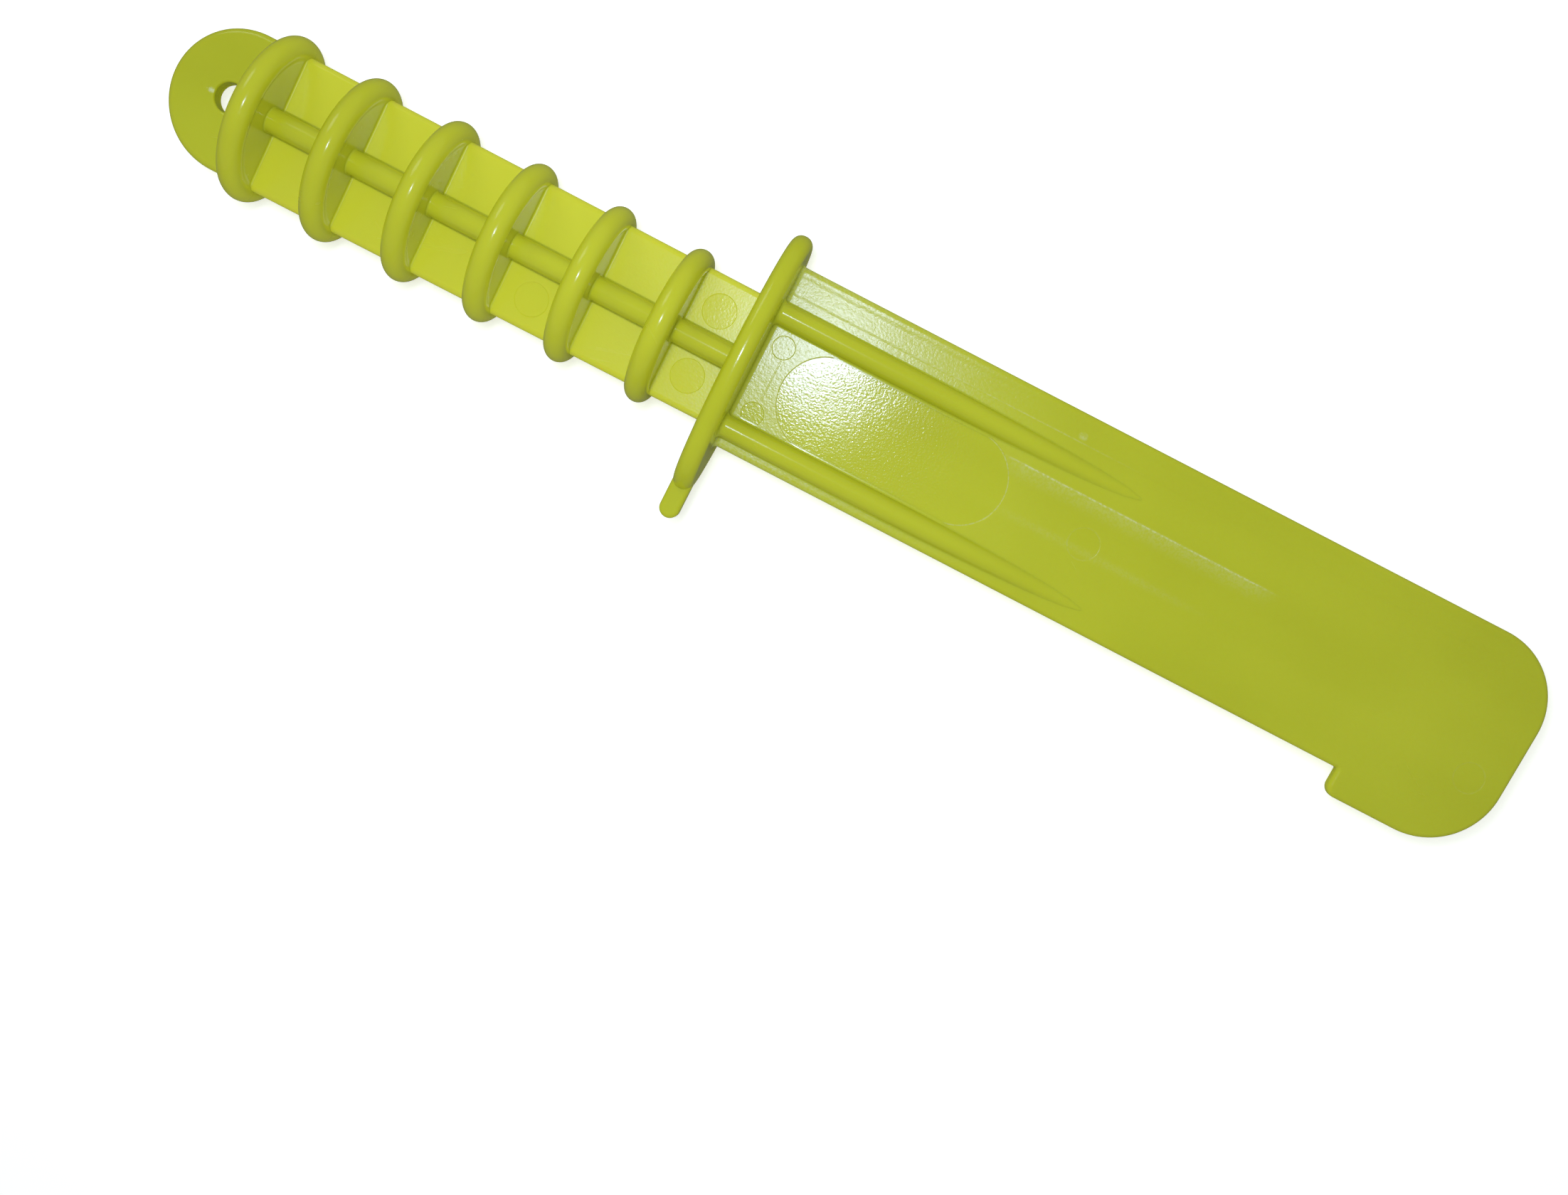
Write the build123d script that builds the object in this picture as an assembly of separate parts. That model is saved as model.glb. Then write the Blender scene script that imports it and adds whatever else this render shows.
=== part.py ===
"""Shellfish prying and measuring tool: one injection moulding, modelled as its moulded features.

The origin is the centre of the lanyard hole on the mid-plane of the handle plate.
+X runs along the handle towards the blade tip, +Y towards the plain straight blade edge,
and +Z out of the front face. The measuring tongue and hook are on the -Y side.
All sizes are in millimetres.
"""
import os

from build123d import *

# ---- Driving dimensions -------------------------------------------------------------

# Lanyard tab and handle plate
HOLE_RADIUS = 2.7
TAB_END_X = -11.1
PLATE_THICKNESS = 3.4
PLATE_EDGE_RADIUS = 1.1
PLATE_HALF_WIDTH_TAB = 12.8
PLATE_HALF_WIDTH_GUARD = 12.4

# Six finger rings: flat webs with a round bead along the rim
RING_COUNT = 6
RING_FIRST_X = 8.0
RING_PITCH = 15.85
RING_RADIUS_TAB = 15.5
RING_RADIUS_GUARD = 14.8
RING_BEAD_RADIUS = 2.2
RING_WEB_HALF = 1.8
RING_BLEND_RADIUS = 2.5

# Spine bars that stand on both faces of the handle plate between the rings
SPINE_WIDTH = 4.4
SPINE_FRONT_Z = 7.4
SPINE_BACK_Z = -9.2

# Elliptical cross guard and the measuring tongue at its -Y end
GUARD_X = 101.75
GUARD_THICKNESS = 3.8
GUARD_HALF_LENGTH = 24.8
GUARD_HALF_HEIGHT = 13.0
TONGUE_THICKNESS = 3.0
TONGUE_END_Y = -30.5
TONGUE_EDGE_RADIUS = 0.8

# Blade with a measuring hook near its tip
GAUGE_LENGTH = 125.0
BLADE_THICKNESS = 3.0
BLADE_EDGE_RADIUS = 0.9
BLADE_EDGE_Y = 20.0
BLADE_NARROW_Y = -15.0
HOOK_Y = -20.0
HOOK_CORNER_RADIUS = 2.0
TIP_LENGTH = 27.75
TIP_CORNER_RADIUS = 13.5

# Stiffening ribs on the blade, highest at the guard and running out to nothing
RIB_OFFSET_Y = 11.0
RIB_WIDTH = 4.1
RIB_ROOT_HEIGHT = 4.0
RIB_END_HEIGHT = 0.25
RIB_FRONT_LENGTH = 70.0
RIB_BACK_GAP = 3.0

# ---- Worked-out places --------------------------------------------------------------

RING_X = [RING_FIRST_X + RING_PITCH * i for i in range(RING_COUNT)]
GUARD_NEAR_X = GUARD_X - GUARD_THICKNESS / 2
GUARD_FAR_X = GUARD_X + GUARD_THICKNESS / 2
HOOK_X = GUARD_FAR_X + GAUGE_LENGTH
TIP_X = HOOK_X + TIP_LENGTH


def edges_on_faces(solid, half_thickness):
    """The edges that bound the top and bottom faces of a flat plate."""
    top = solid.edges().filter_by_position(Axis.Z, half_thickness, half_thickness)
    bottom = solid.edges().filter_by_position(Axis.Z, -half_thickness, -half_thickness)
    return top + bottom


def long_edges(solid, half_thickness):
    """The plate edges that run mostly along X, which leaves its cut ends square."""
    return [e for e in edges_on_faces(solid, half_thickness) if abs((e % 0.5).X) > 0.9]


def plate_half_width(x):
    """The handle plate narrows evenly from the tab to the guard."""
    share = (x - RING_X[0]) / (GUARD_X - RING_X[0])
    return PLATE_HALF_WIDTH_TAB + share * (PLATE_HALF_WIDTH_GUARD - PLATE_HALF_WIDTH_TAB)


def lanyard_tab():
    """The rounded end of the handle, from its tip to the middle of the first ring."""
    radius = PLATE_HALF_WIDTH_TAB
    centre_x = TAB_END_X + radius
    straight = RING_X[0] - centre_x
    outline = Pos(centre_x, 0) * Circle(radius)
    outline += Pos(centre_x + straight / 2, 0) * Rectangle(straight, 2 * radius)
    outline -= Pos(RING_X[0] + radius, 0) * Rectangle(2 * radius, 4 * radius)
    tab = extrude(outline, PLATE_THICKNESS / 2, both=True)
    rim = [e for e in edges_on_faces(tab, PLATE_THICKNESS / 2) if e.center().X < RING_X[0] - 0.1]
    tab = fillet(rim, PLATE_EDGE_RADIUS)
    return tab - Cylinder(HOLE_RADIUS, 2 * PLATE_THICKNESS)


def handle_plate():
    """The flat core of the grip, from the middle of the first ring to the guard."""
    start_x, end_x = RING_X[0], GUARD_NEAR_X
    start_y, end_y = plate_half_width(start_x), plate_half_width(end_x)
    outline = make_face(
        Polyline(
            (start_x, -start_y),
            (end_x, -end_y),
            (end_x, end_y),
            (start_x, start_y),
            close=True,
        )
    )
    plate = extrude(outline, PLATE_THICKNESS / 2, both=True)
    return fillet(long_edges(plate, PLATE_THICKNESS / 2), PLATE_EDGE_RADIUS)


def grip_ring(index):
    """A disc about the handle's axis: a flat web that ends in a round bead with a soft neck."""
    share = index / (RING_COUNT - 1)
    outer = RING_RADIUS_TAB + share * (RING_RADIUS_GUARD - RING_RADIUS_TAB)
    bead_centre = outer - RING_BEAD_RADIUS
    web = Pos(0, bead_centre / 2) * Rectangle(2 * RING_WEB_HALF, bead_centre)
    profile = web + Pos(0, bead_centre) * Circle(RING_BEAD_RADIUS)
    neck = [v for v in profile.vertices() if 1 < v.Y < bead_centre and abs(v.X) > 0.5]
    profile = fillet(neck, RING_BLEND_RADIUS)
    ring = revolve(profile, Axis.X, 360)
    return Pos(RING_X[index], 0, 0) * ring


def spine(start_x, end_x, crest_z):
    """A bar along the handle with a full-round top, standing on one face of the plate."""
    side = 1 if crest_z > 0 else -1
    half = SPINE_WIDTH / 2
    shoulder = abs(crest_z) - half
    section = Plane.YZ * make_face(
        [
            Line((-half, 0), (half, 0)),
            Line((half, 0), (half, side * shoulder)),
            ThreePointArc((half, side * shoulder), (0, crest_z), (-half, side * shoulder)),
            Line((-half, side * shoulder), (-half, 0)),
        ]
    )
    return Pos(start_x, 0, 0) * extrude(section, end_x - start_x, dir=(1, 0, 0))


def cross_guard():
    """An elliptical flange across the tool with a full-round rim."""
    section = Plane.YZ * Ellipse(GUARD_HALF_LENGTH, GUARD_HALF_HEIGHT)
    guard = Pos(GUARD_X, 0, 0) * extrude(section, GUARD_THICKNESS / 2, both=True, dir=(1, 0, 0))
    return fillet(guard.edges().filter_by(GeomType.ELLIPSE), 0.47 * GUARD_THICKNESS)


def guard_tongue():
    """The measuring tongue: a low bar with a round end that continues the guard on -Y."""
    half = GUARD_THICKNESS / 2
    root_y = -GUARD_HALF_LENGTH + GUARD_THICKNESS
    end_centre_y = TONGUE_END_Y + half
    outline = Pos(GUARD_X, (root_y + end_centre_y) / 2) * Rectangle(2 * half, root_y - end_centre_y)
    outline += Pos(GUARD_X, end_centre_y) * Circle(half)
    tongue = extrude(outline, TONGUE_THICKNESS / 2, both=True)
    rim = [e for e in edges_on_faces(tongue, TONGUE_THICKNESS / 2) if e.center().Y < root_y - 0.1]
    return fillet(rim, TONGUE_EDGE_RADIUS)


def blade_panel():
    """The blade from the guard to the hook, with rounded long edges."""
    length = HOOK_X - GUARD_FAR_X
    width = BLADE_EDGE_Y - BLADE_NARROW_Y
    centre = ((GUARD_FAR_X + HOOK_X) / 2, (BLADE_EDGE_Y + BLADE_NARROW_Y) / 2, 0)
    panel = Pos(*centre) * Box(length, width, BLADE_THICKNESS)
    return fillet(long_edges(panel, BLADE_THICKNESS / 2), BLADE_EDGE_RADIUS)


def blade_tip():
    """The wide end of the blade: a square end, two large corners and the hook's face."""
    centre = ((HOOK_X + TIP_X) / 2, (BLADE_EDGE_Y + HOOK_Y) / 2)
    outline = Pos(*centre) * Rectangle(TIP_LENGTH, BLADE_EDGE_Y - HOOK_Y)
    tip_corners = outline.vertices().group_by(Axis.X)[-1]
    outline = fillet(tip_corners, TIP_CORNER_RADIUS)
    hook_corner = outline.vertices().group_by(Axis.X)[0].sort_by(Axis.Y)[0]
    outline = fillet(hook_corner, HOOK_CORNER_RADIUS)
    tip = extrude(outline, BLADE_THICKNESS / 2, both=True)
    rim = [e for e in edges_on_faces(tip, BLADE_THICKNESS / 2) if e.center().X > HOOK_X + 1]
    return fillet(rim, BLADE_EDGE_RADIUS)


def rib_section(x, centre_y, side, height):
    """A full-round bar section whose crest is at a height above the front (side 1) or back face."""
    half = RIB_WIDTH / 2
    crest = side * (BLADE_THICKNESS / 2 + height)
    shoulder = crest - side * half
    root = shoulder - side * RIB_ROOT_HEIGHT
    left, right = centre_y - half, centre_y + half
    section = make_face(
        [
            Line((left, root), (right, root)),
            Line((right, root), (right, shoulder)),
            ThreePointArc((right, shoulder), (centre_y, crest), (left, shoulder)),
            Line((left, shoulder), (left, root)),
        ]
    )
    return Plane.YZ.offset(x) * section


def blade_rib(centre_y, side, end_x):
    """A round-topped rib that is highest at the guard and sinks into the blade until end_x."""
    root = rib_section(GUARD_FAR_X, centre_y, side, RIB_ROOT_HEIGHT)
    end = rib_section(end_x, centre_y, side, RIB_END_HEIGHT)
    bar = loft([root, end], ruled=True)
    length = end_x - GUARD_FAR_X
    face_z = side * BLADE_THICKNESS / 2
    above = Box(length, 2 * RIB_WIDTH, 2 * RIB_ROOT_HEIGHT)
    above = Pos(GUARD_FAR_X + length / 2, centre_y, face_z + side * RIB_ROOT_HEIGHT) * above
    return bar & above


def build_nodes():
    """Every node of the tool by name."""
    tab = lanyard_tab()
    plate = handle_plate()
    guard = cross_guard()
    nodes = {"lanyard_tab": tab, "handle_plate": plate, "cross_guard": guard}

    rings = [grip_ring(index) - plate for index in range(RING_COUNT)]
    rings[0] = rings[0] - tab
    for index, ring in enumerate(rings):
        nodes[f"grip_ring_{index + 1}"] = ring

    full_rings = [grip_ring(index) for index in range(RING_COUNT)]
    bays = list(zip(RING_X, RING_X[1:] + [GUARD_X]))
    for face, crest_z in (("front", SPINE_FRONT_Z), ("back", SPINE_BACK_Z)):
        for number, (start_x, end_x) in enumerate(bays, start=1):
            bar = spine(start_x, end_x, crest_z) - plate - full_rings[number - 1]
            bar -= full_rings[number] if number < RING_COUNT else guard
            nodes[f"spine_{face}_{number}"] = bar

    nodes["guard_tongue"] = guard_tongue() - guard
    nodes["blade_panel"] = blade_panel()
    nodes["blade_tip"] = blade_tip()
    rib_ends = {"front": GUARD_FAR_X + RIB_FRONT_LENGTH, "back": HOOK_X - RIB_BACK_GAP}
    for face, side in (("front", 1), ("back", -1)):
        for edge, centre_y in (("plain", RIB_OFFSET_Y), ("hook", -RIB_OFFSET_Y)):
            nodes[f"blade_rib_{face}_{edge}"] = blade_rib(centre_y, side, rib_ends[face])
    return nodes


os.makedirs("parts", exist_ok=True)
for name, shape in build_nodes().items():
    solids = shape.solids()
    export_step(solids[0] if len(solids) == 1 else Compound(children=solids), f"parts/{name}.step")
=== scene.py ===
# %% [markdown]
# # A moulded shellfish tool, dressed for its portrait
#
# The tool is one injection moulding: a flat core, six finger rings, a cross guard and a ribbed blade.
# The CAD model already says how big everything is and where it sits. What Blender adds is what makes
# plastic look moulded: soft fillets where one wall grows out of another, the marks that the mould's
# pins and inserts leave behind, and a glossy skin with a faint grain.

# %% Load the frame
import math

import bmesh
import bpy
from mathutils import Euler, Matrix, Vector


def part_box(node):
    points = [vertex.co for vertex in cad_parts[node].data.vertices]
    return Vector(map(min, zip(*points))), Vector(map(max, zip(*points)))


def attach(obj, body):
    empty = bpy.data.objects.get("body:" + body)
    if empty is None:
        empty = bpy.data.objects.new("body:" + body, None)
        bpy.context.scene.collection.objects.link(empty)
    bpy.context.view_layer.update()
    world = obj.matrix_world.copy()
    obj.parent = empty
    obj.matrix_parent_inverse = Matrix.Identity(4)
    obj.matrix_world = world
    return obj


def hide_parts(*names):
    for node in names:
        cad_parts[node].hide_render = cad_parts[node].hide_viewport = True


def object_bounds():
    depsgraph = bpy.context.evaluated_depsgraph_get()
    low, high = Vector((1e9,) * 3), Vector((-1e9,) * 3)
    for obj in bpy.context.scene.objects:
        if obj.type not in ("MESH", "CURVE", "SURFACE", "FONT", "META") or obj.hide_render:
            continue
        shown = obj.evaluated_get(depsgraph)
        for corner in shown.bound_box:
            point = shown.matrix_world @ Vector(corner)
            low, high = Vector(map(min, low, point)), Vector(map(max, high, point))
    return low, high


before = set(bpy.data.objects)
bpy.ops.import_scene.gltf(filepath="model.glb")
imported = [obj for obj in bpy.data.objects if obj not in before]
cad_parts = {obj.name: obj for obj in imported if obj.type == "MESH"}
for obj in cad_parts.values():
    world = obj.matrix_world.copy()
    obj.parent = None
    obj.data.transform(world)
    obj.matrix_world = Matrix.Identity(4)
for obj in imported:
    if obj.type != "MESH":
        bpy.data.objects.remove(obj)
cad_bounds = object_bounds()
MM = 0.001
print("CAD box, mm:", [[round(c / MM, 1) for c in corner] for corner in cad_bounds])

# %% [markdown]
# ## Sizes come from the frame
#
# The places of the CAD features are read from the CAD nodes' boxes, so the finished pieces land where
# the design says. Sizes that the CAD model leaves out, such as a fillet's radius, are chosen here, and
# so are the places of the mould's marks, the camera and the lamps. The features' places could be typed
# in by hand too, but then a change to the design would leave the looks behind.

# %% Read the places of the features
RING_NAMES = sorted(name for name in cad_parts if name.startswith("grip_ring_"))
RING_X = [(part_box(name)[0].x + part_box(name)[1].x) / 2 for name in RING_NAMES]
RING_RADIUS = [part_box(name)[1].z for name in RING_NAMES]
tab_low, tab_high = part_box("lanyard_tab")
plate_low, plate_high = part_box("handle_plate")
guard_low, guard_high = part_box("cross_guard")
tongue_low, tongue_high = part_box("guard_tongue")
blade_low, blade_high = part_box("blade_panel")
tip_low, tip_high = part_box("blade_tip")
PLATE_Z = plate_high.z
BLADE_Z = blade_high.z
GUARD_X = (guard_low.x + guard_high.x) / 2
HOOK_X = blade_high.x
print("rings at", [round(x / MM, 2) for x in RING_X], "mm, guard at", round(GUARD_X / MM, 2))

# %% [markdown]
# These are the sizes that no box gives: the section of a ring, the radii of rims and fillets, and the
# small amounts by which one piece reaches into another. All lengths are in metres, so `1.8 * MM` reads
# as 1.8 millimetres.

# %% Sizes that the frame leaves out
WEB_HALF = 1.8 * MM
BEAD_RADIUS = 2.2 * MM
NECK_RADIUS = 2.5 * MM
PLATE_EDGE = 1.1 * MM
BLADE_EDGE = 0.9 * MM
FOOT_FILLET = 0.35 * MM
END_FILLET = 0.3 * MM
GUARD_FILLET = 0.8 * MM
FOOT_SKIRT = 0.3 * MM
SKIN_GAP = 0.002 * MM
BURIED = 0.3 * MM
TOUCH = 0.001 * MM
CURVE_STEPS = 6
PLATE_NARROWING = 0.4 * MM


def plate_half_width(x):
    """The handle plate narrows evenly from the first ring to the guard."""
    share = (x - RING_X[0]) / (GUARD_X - RING_X[0])
    return plate_high.y - share * PLATE_NARROWING


print("handle half width at the guard, mm:", round(plate_half_width(GUARD_X) / MM, 2))

# %% [markdown]
# ## Outlines
#
# A bmesh is a mesh held open on the bench: its operators extrude, bevel and spin it, and at the end it
# is written into a mesh that an object can show.
#
# Most pieces here start as an outline: one face through a few corners. A vertex bevel then rounds its
# corners, which is also how an inside corner gets its fillet.

# %% Helpers for outlines
def outline_face(bm, corners):
    """One flat face through a few corners."""
    return bm.faces.new([bm.verts.new(corner) for corner in corners])


def round_corners(bm, corners, radius, segments=CURVE_STEPS):
    """Rounds the outline's corners at the given places."""
    found = [v for v in bm.verts if any((v.co - Vector(c)).length < TOUCH for c in corners)]
    bmesh.ops.bevel(
        bm,
        geom=found,
        offset=radius,
        offset_type="OFFSET",
        segments=segments,
        profile=0.5,
        affect="VERTICES",
        material=-1,
    )
    bmesh.ops.remove_doubles(bm, verts=bm.verts[:], dist=TOUCH)


def thicken(bm, step):
    """Extrudes the bmesh's only face by a step into a closed solid."""
    grown = bmesh.ops.extrude_face_region(bm, geom=bm.faces[:], use_keep_orig=True)
    moved = [item for item in grown["geom"] if isinstance(item, bmesh.types.BMVert)]
    bmesh.ops.translate(bm, verts=moved, vec=step)
    bmesh.ops.recalc_face_normals(bm, faces=bm.faces[:])


# %% [markdown]
# ## Fillets and round rims from one move
#
# Push a flat end outwards in small steps, and let each step grow or shrink it along a quarter circle.
# Shrinking closes the end with a round rim. Growing flares it until it lies flat on the wall that it
# meets, and that flare is the fillet a moulding has there. The Bevel modifier can't do this between two
# separate pieces, and a Boolean union would fuse pieces that have to stay apart.
#
# A flare ends two thousandths of a millimetre inside its wall, because two skins in exactly the same
# place would flicker.

# %% Helpers for ends
def end_face(bm, direction):
    """The face that lies furthest along a direction and looks that way."""
    direction = Vector(direction)
    facing = [f for f in bm.faces if f.normal.dot(direction) > 0.999]
    return max(facing, key=lambda f: f.calc_center_median().dot(direction))


def push_face(bm, face, advance, growth=0.0):
    """Extrudes a face along its normal and grows its outline evenly."""
    bmesh.ops.inset_region(
        bm,
        faces=[face],
        thickness=-growth,
        depth=advance,
        use_boundary=True,
        use_even_offset=True,
    )


def curve_face(bm, face, radius, sense, turn=(0, 90), segments=CURVE_STEPS):
    """Pushes a face along an arc: sense 1 flares it, -1 closes it with a round rim."""
    start, stop = (math.radians(angle) for angle in turn)
    angles = [start + (stop - start) * step / segments for step in range(segments + 1)]
    for before, after in zip(angles, angles[1:]):
        advance = radius * abs(math.sin(after) - math.sin(before))
        growth = radius * (math.cos(before) - math.cos(after))
        push_face(bm, face, advance, sense * growth)


def bevel_edges(bm, edges, radius, segments=CURVE_STEPS):
    """Rounds edges with a circular profile."""
    bmesh.ops.bevel(
        bm,
        geom=edges,
        offset=radius,
        offset_type="OFFSET",
        segments=segments,
        profile=0.5,
        affect="EDGES",
        material=-1,
    )


# %% [markdown]
# When a bmesh is done, it is written into a mesh, and the mesh goes into an object. Every object stays
# at the origin with no turn and no scale, so the piece's own points are its places on the tool.

# %% Helper that turns a bmesh into a piece
SMOOTH_ANGLE = math.radians(31)


def make_piece(name, bm):
    """Writes a bmesh into an object at the origin, smooth except across sharp edges."""
    mesh = bpy.data.meshes.new(name)
    bm.to_mesh(mesh)
    bm.free()
    mesh.shade_smooth()
    mesh.set_sharp_from_angle(angle=SMOOTH_ANGLE)
    piece = bpy.data.objects.new(name, mesh)
    bpy.context.scene.collection.objects.link(piece)
    return piece


# %% [markdown]
# Smooth shading averages the normals of the faces round each corner. On a slab that bends the shading
# of the big flat face towards its narrow rim, and flat plastic looks dented. The Weighted Normal
# modifier lets large faces win, so flat stays flat and only the rim turns.

# %% Helper that keeps flat faces flat
def favour_flat_faces(piece):
    """Adds the modifier that weighs normals by the area of their faces."""
    modifier = piece.modifiers.new("flat faces win", "WEIGHTED_NORMAL")
    modifier.mode = "FACE_AREA"
    modifier.weight = 100
    modifier.keep_sharp = True


# %% [markdown]
# ## Shader maths that reads like Python
#
# A wire wraps a socket, and each operator on it adds one Math node, so `1 - mask * 0.5` builds its own
# little network. The node editor does the same by hand, but a sum of ten terms is easier to read in a
# line than as ten boxes.

# %% The wire and the workshop
class Wire:
    """An output socket that can be used in sums."""

    def __init__(self, shop, socket):
        self.shop = shop
        self.socket = socket

    def math(self, operation, *others):
        inputs = dict(enumerate((self, *others)))
        return self.shop.node("ShaderNodeMath", {"operation": operation}, inputs)

    def __add__(self, other):
        return self.math("ADD", other)

    def __mul__(self, other):
        return self.math("MULTIPLY", other)

    def __sub__(self, other):
        return self.math("SUBTRACT", other)

    def __rsub__(self, other):
        return self.math("MULTIPLY_ADD", -1.0, other)

    def __truediv__(self, other):
        return self.math("DIVIDE", other)


class Workshop:
    """Makes the nodes of one material."""

    def __init__(self, name):
        self.material = bpy.data.materials.new(name)
        self.material.use_nodes = True
        self.tree = self.material.node_tree
        self.tree.nodes.clear()

    def node(self, kind, settings=None, inputs=None, output=0):
        """One node: its settings first, then the values or wires of its sockets."""
        made = self.tree.nodes.new(kind)
        for key, value in (settings or {}).items():
            if key == "stops":
                self.set_stops(made.color_ramp, value)
            else:
                setattr(made, key, value)
        for key, value in (inputs or {}).items():
            if isinstance(value, Wire):
                self.tree.links.new(value.socket, made.inputs[key])
            else:
                made.inputs[key].default_value = value
        return Wire(self, made.outputs[output]) if made.outputs else None

    @staticmethod
    def set_stops(ramp, stops):
        while len(ramp.elements) < len(stops):
            ramp.elements.new(0.5)
        for element, (position, colour) in zip(ramp.elements, stops):
            element.position = position
            element.color = colour


# %% [markdown]
# ## Patterns that know where they are
#
# Object coordinates are metres from the object's origin, and every piece here sits at the origin, so a
# pattern made from them lines up over all the pieces, as on one moulding. The helpers make noise, soft
# lines and soft-edged spots from them.

# %% Pattern helpers
SPECKLE_SCALE = 2300.0


def object_axes(shop):
    """The place on the object, and its three coordinates."""
    place = shop.node("ShaderNodeTexCoord", output=3)
    return place, *(shop.node("ShaderNodeSeparateXYZ", {}, {0: place}, i) for i in range(3))


def noise(shop, place, scale, detail=2.0):
    """Cloudy noise from 0 to 1; the scale is in waves per metre."""
    inputs = {"Vector": place, "Scale": scale, "Detail": detail}
    return shop.node("ShaderNodeTexNoise", {"noise_dimensions": "3D"}, inputs)


def stretched(shop, place, lengths, turn=0.0):
    """The place seen through a stretch, which draws a pattern out along the first axis."""
    inputs = {"Vector": place, "Rotation": (0, 0, math.radians(turn)), "Scale": lengths}
    return shop.node("ShaderNodeMapping", {"vector_type": "TEXTURE"}, inputs)


def climb(shop, value, low, high):
    """0 below low, 1 above high, with a soft climb between."""
    inputs = {0: value, 1: low, 2: high, 3: 0.0, 4: 1.0}
    return shop.node("ShaderNodeMapRange", {"interpolation_type": "SMOOTHSTEP"}, inputs)


def soft_line(value, centre, width):
    """1 on the centre, fading to nothing over a width."""
    distance = (value - centre) / width
    return (distance * distance * -1.0).math("EXPONENT")


def between(shop, value, low, high, blur):
    """1 between low and high, with soft ends."""
    return climb(shop, value, low - blur, low + blur) * (
        1 - climb(shop, value, high - blur, high + blur)
    )


def long_spot(shop, x, y, centre, half_length, radius, blur):
    """1 inside a spot with round ends, 0 outside."""
    along = ((x - centre[0]).math("ABSOLUTE") - half_length).math("MAXIMUM", 0.0)
    across = y - centre[1]
    distance = (along * along + across * across).math("SQRT")
    return 1 - climb(shop, distance, radius - blur, radius + blur)


def speckle(shop, place, low=0.38, high=0.62):
    """Grains a few tenths of a millimetre wide, which break up a scuff."""
    return climb(shop, noise(shop, place, SPECKLE_SCALE, 3.0), low, high)


def on_front(shop, z):
    """1 on the front face, 0 on the back."""
    return climb(shop, z, 0.0, 1.0 * MM)


# %% [markdown]
# ## The plastic
#
# The real finish is a bright yellow-green plastic straight from the mould: glossy, with a very fine
# grain that turns a reflected lamp into a patch of glitter. A flat colour with low roughness would look
# like a computer part. So the material adds, from large to small: a slow drift of tone with faint flow
# lines, thin scratches, a slow waviness, the grain, and the seam where the mould's halves met.
#
# The colour is chosen as light energy, not as screen values: a screen's yellow-green is a lot of green,
# nearly as much red, and hardly any blue.

# %% Tones of the plastic
LIME_DEEP = (0.505, 0.525, 0.018, 1)
LIME = (0.540, 0.565, 0.022, 1)
LIME_PALE = (0.575, 0.600, 0.028, 1)
# The lightest tone is painted bounce light, which the plate and the rings mix in.
LIME_PAINTED_BOUNCE = (0.740, 0.740, 0.045, 1)
# This pale tone paints real scuffs, and also painted glare and painted highlights.
FROST_AND_GLARE_TONE = (0.70, 0.74, 0.40, 1)


def lime_tone(shop, place):
    """The plastic's colour: a slow drift, with flow lines along the tool."""
    drift = noise(shop, place, 24.0)
    flow = noise(shop, stretched(shop, place, (12, 1, 1)), 70.0)
    stops = [(0.35, LIME_DEEP), (0.5, LIME), (0.66, LIME_PALE)]
    return shop.node("ShaderNodeValToRGB", {"stops": stops}, {0: drift * 0.6 + flow * 0.4})


def scratches(shop, place):
    """Thin hairs in two directions, kept only where a slow noise lets them through."""
    hair_a = noise(shop, stretched(shop, place, (34, 1, 1), 17), 900.0, 0.0)
    hair_b = noise(shop, stretched(shop, place, (34, 1, 1), -33), 760.0, 0.0)
    worn = climb(shop, noise(shop, place, 75.0, 1.0), 0.50, 0.66)
    return (climb(shop, hair_a, 0.74, 0.82) + climb(shop, hair_b, 0.74, 0.82)) * worn


# %% [markdown]
# One function makes every finish here. The Principled shader takes the colour, the roughness and the
# bump from the patterns, and a little subsurface scattering lets light sink in, which softens the
# edges of shadows. The functions passed in as polish, frost and relief add what only one piece has.
# The frost masks paint a pale tone. In some marks that tone is real scuffing, and in others it is
# painted glare and painted highlights.
#
# The real tool is presumably one colour throughout, but its plate and rings look lighter than its
# blade, because light is thrown back and forth between the rings' walls. So `light` mixes in a lighter
# tone for them, which is painted bounce light. It could be done with more lamps instead, but those
# would put glare on the blade.

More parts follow.
